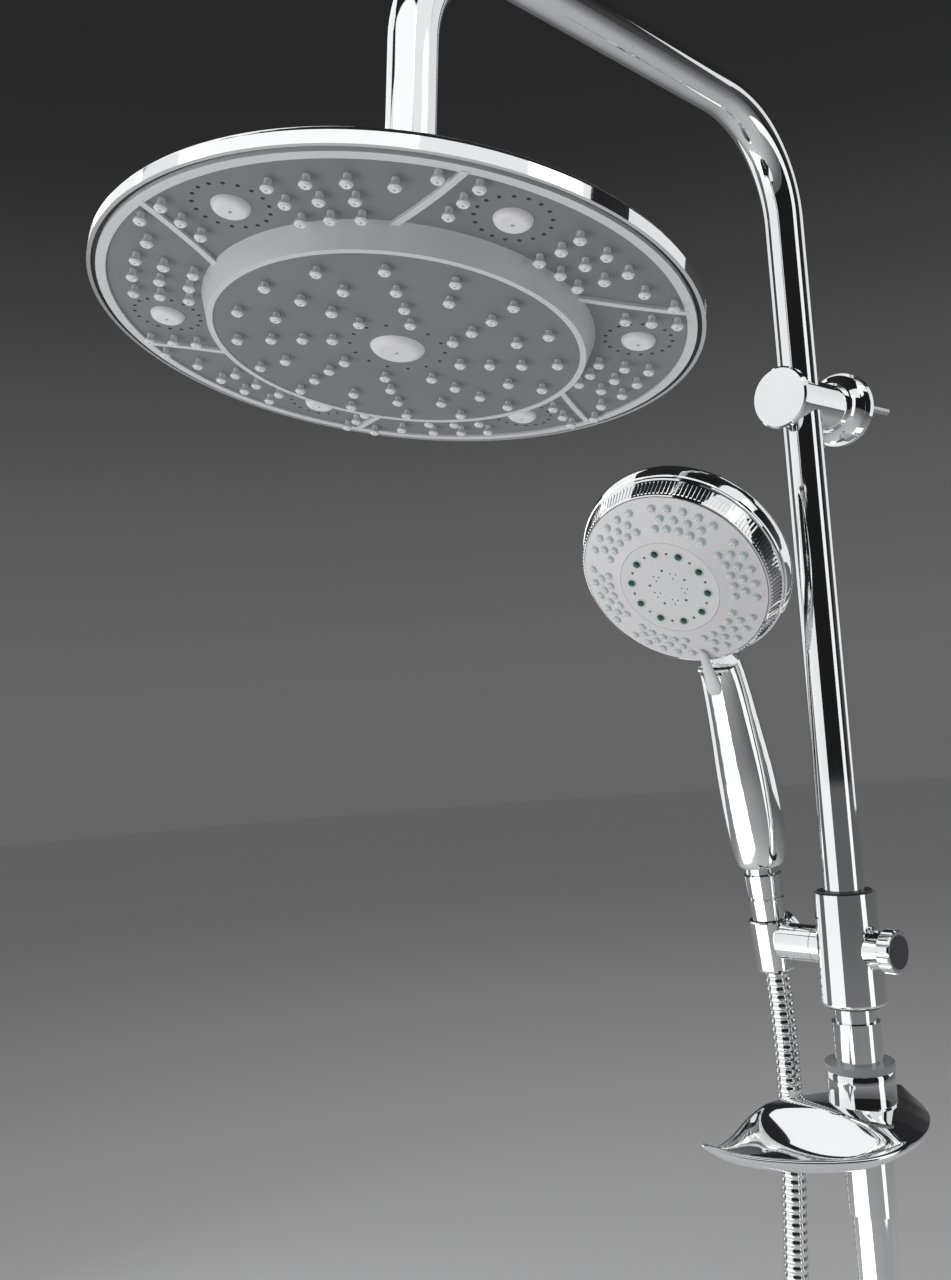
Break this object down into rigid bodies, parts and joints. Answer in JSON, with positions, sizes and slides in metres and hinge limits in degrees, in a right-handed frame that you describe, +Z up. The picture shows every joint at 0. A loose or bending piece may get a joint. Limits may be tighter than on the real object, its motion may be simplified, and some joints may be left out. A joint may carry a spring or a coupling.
{
  "type": "riser rail shower column",
  "caption": "Wall-hung chrome shower column with a round rain head on a ball joint, a sliding tilting hand-shower holder, hand shower on a ringed hose, leaf-shaped soap dish and diverter.",
  "frame": {"origin": "centre of the upper bracket's foot on the wall plane", "axes": "+Z up along the riser, +Y into the wall, -Y towards the user, +X to the right as seen from the user"},
  "size_m": [0.241, 0.4749, 1.5102],
  "materials": {
    "chrome_plate": "mirror chrome",
    "bare_brass": "turned",
    "steel": "satin",
    "hose_metal": "interlocked rings",
    "grey_face": "satin grey",
    "light_grey_plastic": "satin",
    "grey_rubber": "soft",
    "light_face": "pearl",
    "soft_green_rubber": "soft",
    "dark_rubber": "matt",
    "dark_plastic": "matt",
    "grey_ring": "satin"
  },
  "bodies": {
    "column": {"riser_tube": "chrome_plate", "arm_tube": "chrome_plate", "joint_sleeve": "bare_brass", "joint_seals": "dark_rubber", "bracket_barrel": "chrome_plate", "bracket_cap": "chrome_plate", "bracket_flange": "chrome_plate", "bracket_wall_plate": "steel", "bracket_wall_screws": "steel", "bracket_grub_screw": "steel", "arm_ball": "bare_brass", "ball_filter": "dark_plastic", "diverter_body": "chrome_plate", "diverter_gland": "chrome_plate", "diverter_rose": "chrome_plate", "hose": "hose_metal", "hose_base_nut": "chrome_plate", "hose_lower_washer": "dark_rubber"},
    "diverter_valve": {"diverter_cartridge": "dark_plastic", "diverter_spindle": "bare_brass", "diverter_knob": "chrome_plate"},
    "ball_seat": {"head_ball_seat": "dark_plastic"},
    "rain_head": {"head_ball_nut": "chrome_plate", "head_shell": "chrome_plate", "head_gap_ring": "dark_rubber", "head_frame": "light_grey_plastic", "head_face": "grey_face", "head_disc": "grey_face", "head_buttons": "grey_face", "head_nozzles": "grey_rubber", "head_disc_nozzles": "grey_rubber", "head_chamber_plate": "dark_plastic", "head_chamber_seal": "dark_rubber", "head_screws": "steel"},
    "slider_bush": {"slider_liner": "dark_plastic"},
    "slider": {"slider_body": "chrome_plate", "slider_pad": "dark_plastic"},
    "slider_clamp_knob": {"slider_spindle": "bare_brass", "slider_knob": "chrome_plate", "slider_knob_cap": "dark_plastic"},
    "holder": {"holder_arm": "chrome_plate", "holder_pivot_ring": "dark_rubber", "holder_cup": "chrome_plate", "holder_cup_liner": "dark_plastic"},
    "hose_end": {"hose_cone_nut": "chrome_plate", "hose_upper_washer": "dark_rubber"},
    "hand_shower": {"handset_shell": "chrome_plate", "handset_grip_ring": "chrome_plate", "handset_disc": "light_face", "handset_jet_rings": "soft_green_rubber", "handset_rotor": "dark_plastic", "handset_waterway": "dark_plastic", "handset_inlet": "bare_brass"},
    "spray_plate": {"handset_face": "light_face", "handset_nozzles": "soft_green_rubber", "handset_selector": "light_face"},
    "dish_carrier": {"dish_bush": "dark_plastic", "dish_gasket": "grey_ring"},
    "soap_dish": {"dish_tray": "chrome_plate", "dish_clamp_screw": "steel"}
  },
  "joints": [
    {"name": "diverter_turn", "type": "hinge", "parent": "column", "child": "diverter_valve", "pos_m": [0, -0.042, -0.96], "axis": [0, -1, 0], "range_deg": [-90, 90]},
    {"name": "head_tilt", "type": "hinge", "parent": "column", "child": "ball_seat", "pos_m": [0, -0.3187, 0.0332], "axis": [1, 0, 0], "range_deg": [-12, 12]},
    {"name": "head_roll", "type": "hinge", "parent": "ball_seat", "child": "rain_head", "pos_m": [0, -0.3187, 0.0332], "axis": [0, 1, 0], "range_deg": [-12, 12]},
    {"name": "slider_slide", "type": "slide", "parent": "column", "child": "slider_bush", "axis": [0, 0, 1], "range_m": [-0.025, 0.06], "deforming": ["hose"]},
    {"name": "slider_swivel", "type": "hinge", "parent": "slider_bush", "child": "slider", "pos_m": [0, -0.042, -0.301], "axis": [0, 0, 1], "range_deg": [-20, 15], "deforming": ["hose"]},
    {"name": "slider_knob_turn", "type": "hinge", "parent": "slider", "child": "slider_clamp_knob", "pos_m": [0.02, -0.042, -0.301], "axis": [1, 0, 0], "range_deg": [-180, 45]},
    {"name": "holder_tilt", "type": "hinge", "parent": "slider", "child": "holder", "pos_m": [0, -0.042, -0.301], "axis": [1, 0, 0], "range_deg": [-2, 8], "deforming": ["hose"]},
    {"name": "handset_lift", "type": "slide", "parent": "holder", "child": "hose_end", "axis": [0, -0.1045, 0.9945], "range_m": [0, 0.03], "deforming": ["hose"]},
    {"name": "handset_turn", "type": "hinge", "parent": "hose_end", "child": "hand_shower", "pos_m": [-0.05, -0.041, -0.301], "axis": [0, -0.1045, 0.9945], "range_deg": [-30, 6]},
    {"name": "spray_select", "type": "hinge", "parent": "hand_shower", "child": "spray_plate", "pos_m": [-0.04116, -0.11494, -0.09741], "axis": [0.1447, -0.799, -0.5837], "range_deg": [-18, 18]},
    {"name": "dish_slide", "type": "slide", "parent": "column", "child": "dish_carrier", "axis": [0, 0, 1], "range_m": [-0.15, 0]},
    {"name": "dish_swivel", "type": "hinge", "parent": "dish_carrier", "child": "soap_dish", "pos_m": [0, -0.042, -0.385], "axis": [0, 0, 1], "range_deg": [0, 45]}
  ]
}
